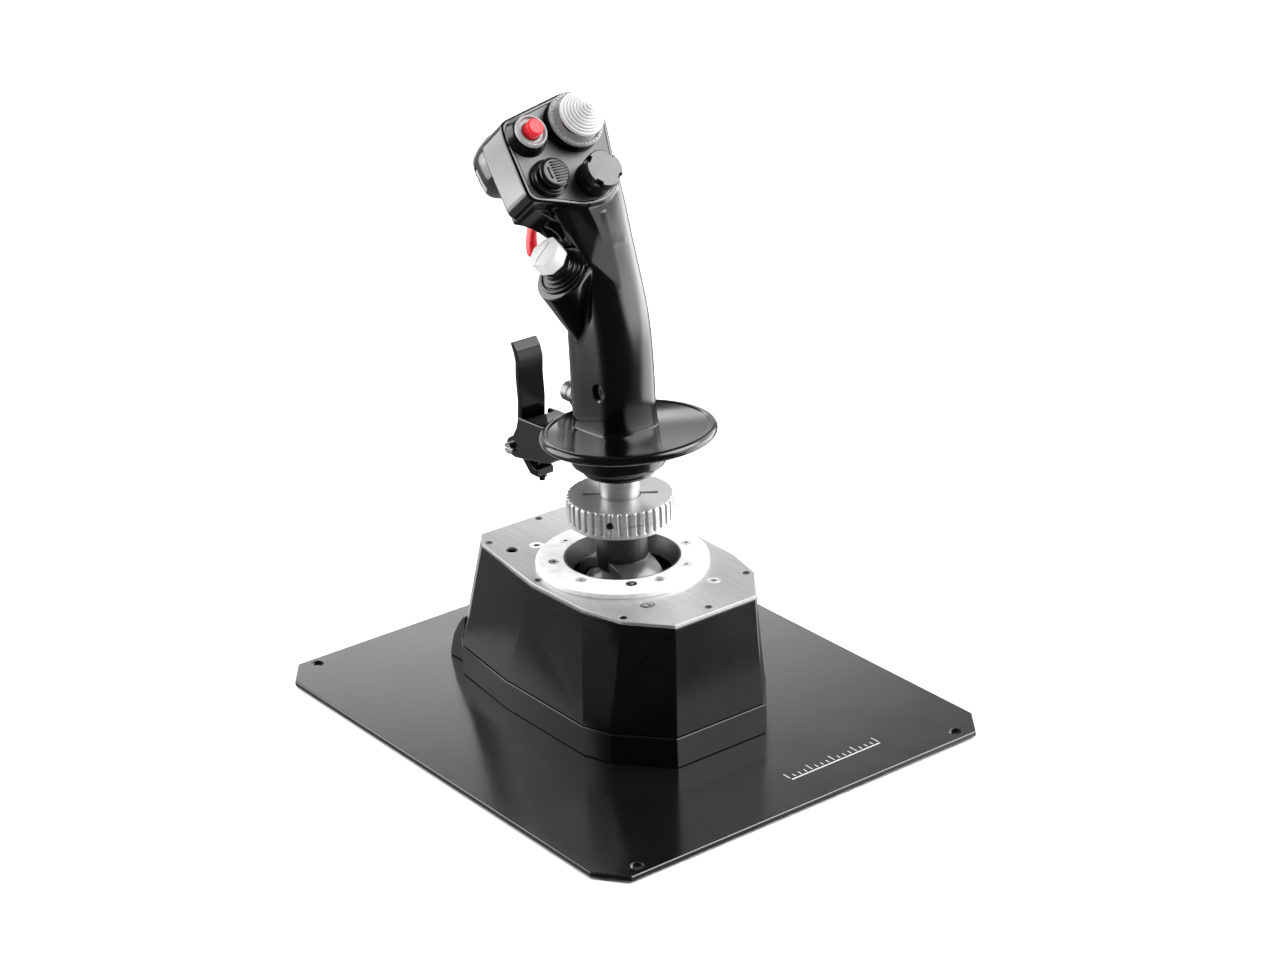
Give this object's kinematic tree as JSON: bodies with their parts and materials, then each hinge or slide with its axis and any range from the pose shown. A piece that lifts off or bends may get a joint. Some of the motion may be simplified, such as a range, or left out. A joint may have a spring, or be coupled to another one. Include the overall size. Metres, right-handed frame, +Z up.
{
  "type": "flight joystick",
  "caption": "Desk-mounted flight joystick: grip with trigger, buttons and hat switches on a tilting post, in a tapered base on a flat plate.",
  "frame": {"origin": "middle of the desk plate, on the table, below the stick's axis", "axes": "+Z up, +Y away from the pilot, +X to the pilot's right"},
  "size_m": [0.27, 0.324, 0.359],
  "materials": {
    "plate_paint": "satin",
    "pad_rubber": "matt",
    "dark_screw": "satin",
    "base_plastic": "satin",
    "housing_plastic": "gloss",
    "brushed_plate": "brushed",
    "bright_ring": "satin",
    "bright_screw": "polished",
    "lip_paint": "satin",
    "connector_metal": "satin",
    "board": "satin",
    "inner_plastic": "matt",
    "gimbal_metal": "satin",
    "post_paint": "satin",
    "nut_metal": "machined",
    "grip_paint": "gloss",
    "panel_paint": "satin",
    "lever_paint": "satin",
    "switch_black": "satin",
    "castle_grey": "satin",
    "button_red": "gloss",
    "cap_white": "satin",
    "pinky_metal": "satin"
  },
  "bodies": {
    "base": {"desk_plate": "plate_paint", "plate_feet": "pad_rubber", "plate_bolts": "dark_screw", "base_skirt": "base_plastic", "base_housing": "housing_plastic", "top_plate": "brushed_plate", "top_plate_screws": "dark_screw", "frame_screws": "bright_screw", "bezel_ring": "bright_ring", "ring_screws": "bright_screw", "opening_lip": "lip_paint", "rear_cover": "base_plastic", "usb_socket": "connector_metal", "circuit_board": "board", "board_posts": "inner_plastic", "gimbal_frame": "gimbal_metal", "frame_bearings": "connector_metal"},
    "pitch_yoke": {"pitch_yoke": "gimbal_metal"},
    "stick": {"stick_post": "post_paint", "neck": "nut_metal", "grip_collar": "grip_paint", "hand_rest_disc": "grip_paint", "paddle_bracket": "grip_paint", "paddle_pin": "bright_screw", "grip_left_shell": "grip_paint", "grip_right_shell": "grip_paint", "shell_screw": "dark_screw", "head_shell": "grip_paint", "head_panel": "panel_paint", "nose_cover": "grip_paint", "trigger_pin": "connector_metal", "weapon_bezel": "switch_black", "weapon_collar": "bright_ring", "pinky_bezel": "switch_black", "mark_bezel": "switch_black", "trim_bezel": "switch_black", "trim_ring_dial": "bright_ring", "ribbed_bezel": "switch_black", "castle_bezel": "switch_black", "side_bezel": "switch_black"},
    "lock_nut": {"lock_nut": "nut_metal", "nut_grub_screw": "dark_screw"},
    "trigger": {"trigger": "button_red"},
    "paddle": {"paddle_lever": "lever_paint", "paddle_stop_screw": "lever_paint"},
    "weapon_button": {"weapon_button": "button_red"},
    "pinky_button": {"pinky_button": "pinky_metal"},
    "mark_button": {"mark_button": "switch_black"},
    "trim_ring": {"trim_ring": "inner_plastic"},
    "trim_cap": {"trim_cap": "cap_white"},
    "ribbed_ring": {"ribbed_ring": "inner_plastic"},
    "ribbed_cap": {"ribbed_cap": "switch_black"},
    "castle_ring": {"castle_ring": "inner_plastic"},
    "castle_cap": {"castle_cap": "castle_grey"},
    "side_ring": {"side_ring": "inner_plastic"},
    "side_cap": {"side_cap": "cap_white"}
  },
  "joints": [
    {"name": "pitch", "type": "hinge", "parent": "base", "child": "pitch_yoke", "pos_m": [0, 0, 0.065], "axis": [1, 0, 0], "range_deg": [-15, 15], "stiffness_Nm_per_rad": 4},
    {"name": "roll", "type": "hinge", "parent": "pitch_yoke", "child": "stick", "pos_m": [0, 0, 0.065], "axis": [0, 1, 0], "range_deg": [-15, 15], "stiffness_Nm_per_rad": 4},
    {"name": "nut_turn", "type": "hinge", "parent": "stick", "child": "lock_nut", "pos_m": [0, 0, 0.12], "axis": [0, 0, 1], "continuous": true},
    {"name": "trigger_pull", "type": "hinge", "parent": "stick", "child": "trigger", "pos_m": [-0.009, 0.057, 0.289], "axis": [-1, 0, 0], "range_deg": [0, 12], "stiffness_Nm_per_rad": 0.6, "springref_deg": -5.73},
    {"name": "paddle_pull", "type": "hinge", "parent": "stick", "child": "paddle", "pos_m": [0, 0.088, 0.136], "axis": [1, 0, 0], "range_deg": [0, 8], "stiffness_Nm_per_rad": 0.9, "springref_deg": -5.73},
    {"name": "weapon_press", "type": "slide", "parent": "stick", "child": "weapon_button", "axis": [0, 0.7749, -0.632], "range_m": [0, 0.002], "stiffness_N_per_m": 800, "springref_m": -0.001},
    {"name": "pinky_press", "type": "slide", "parent": "stick", "child": "pinky_button", "axis": [0, -1, 0], "range_m": [0, 0.002], "stiffness_N_per_m": 800, "springref_m": -0.001},
    {"name": "mark_press", "type": "slide", "parent": "stick", "child": "mark_button", "axis": [0.8, 0, 0.6], "range_m": [0, 0.0015], "stiffness_N_per_m": 800, "springref_m": -0.001},
    {"name": "trim_tilt_fore", "type": "hinge", "parent": "stick", "child": "trim_ring", "pos_m": [-0.0007, 0.02831, 0.34218], "axis": [1, 0, 0], "range_deg": [-7, 7], "stiffness_Nm_per_rad": 0.05},
    {"name": "trim_tilt_side", "type": "hinge", "parent": "trim_ring", "child": "trim_cap", "pos_m": [-0.0007, 0.02831, 0.34218], "axis": [0, 0.632, 0.7749], "range_deg": [-7, 7], "stiffness_Nm_per_rad": 0.05},
    {"name": "ribbed_tilt_fore", "type": "hinge", "parent": "stick", "child": "ribbed_ring", "pos_m": [-0.0291, 0.01277, 0.32092], "axis": [1, 0, 0], "range_deg": [-7, 7], "stiffness_Nm_per_rad": 0.05},
    {"name": "ribbed_tilt_side", "type": "hinge", "parent": "ribbed_ring", "child": "ribbed_cap", "pos_m": [-0.0291, 0.01277, 0.32092], "axis": [0, 0.632, 0.7749], "range_deg": [-7, 7], "stiffness_Nm_per_rad": 0.05},
    {"name": "castle_tilt_fore", "type": "hinge", "parent": "stick", "child": "castle_ring", "pos_m": [-0.003, 0.0077, 0.31628], "axis": [1, 0, 0], "range_deg": [-7, 7], "stiffness_Nm_per_rad": 0.05},
    {"name": "castle_tilt_side", "type": "hinge", "parent": "castle_ring", "child": "castle_cap", "pos_m": [-0.003, 0.0077, 0.31628], "axis": [0, 0.632, 0.7749], "range_deg": [-7, 7], "stiffness_Nm_per_rad": 0.05},
    {"name": "side_tilt_fore", "type": "hinge", "parent": "stick", "child": "side_ring", "pos_m": [-0.02813, 0.01, 0.27087], "axis": [0.7331, 0, 0.6801], "range_deg": [-7, 7], "stiffness_Nm_per_rad": 0.05},
    {"name": "side_tilt_up", "type": "hinge", "parent": "side_ring", "child": "side_cap", "pos_m": [-0.02813, 0.01, 0.27087], "axis": [0, 1, 0], "range_deg": [-7, 7], "stiffness_Nm_per_rad": 0.05}
  ]
}
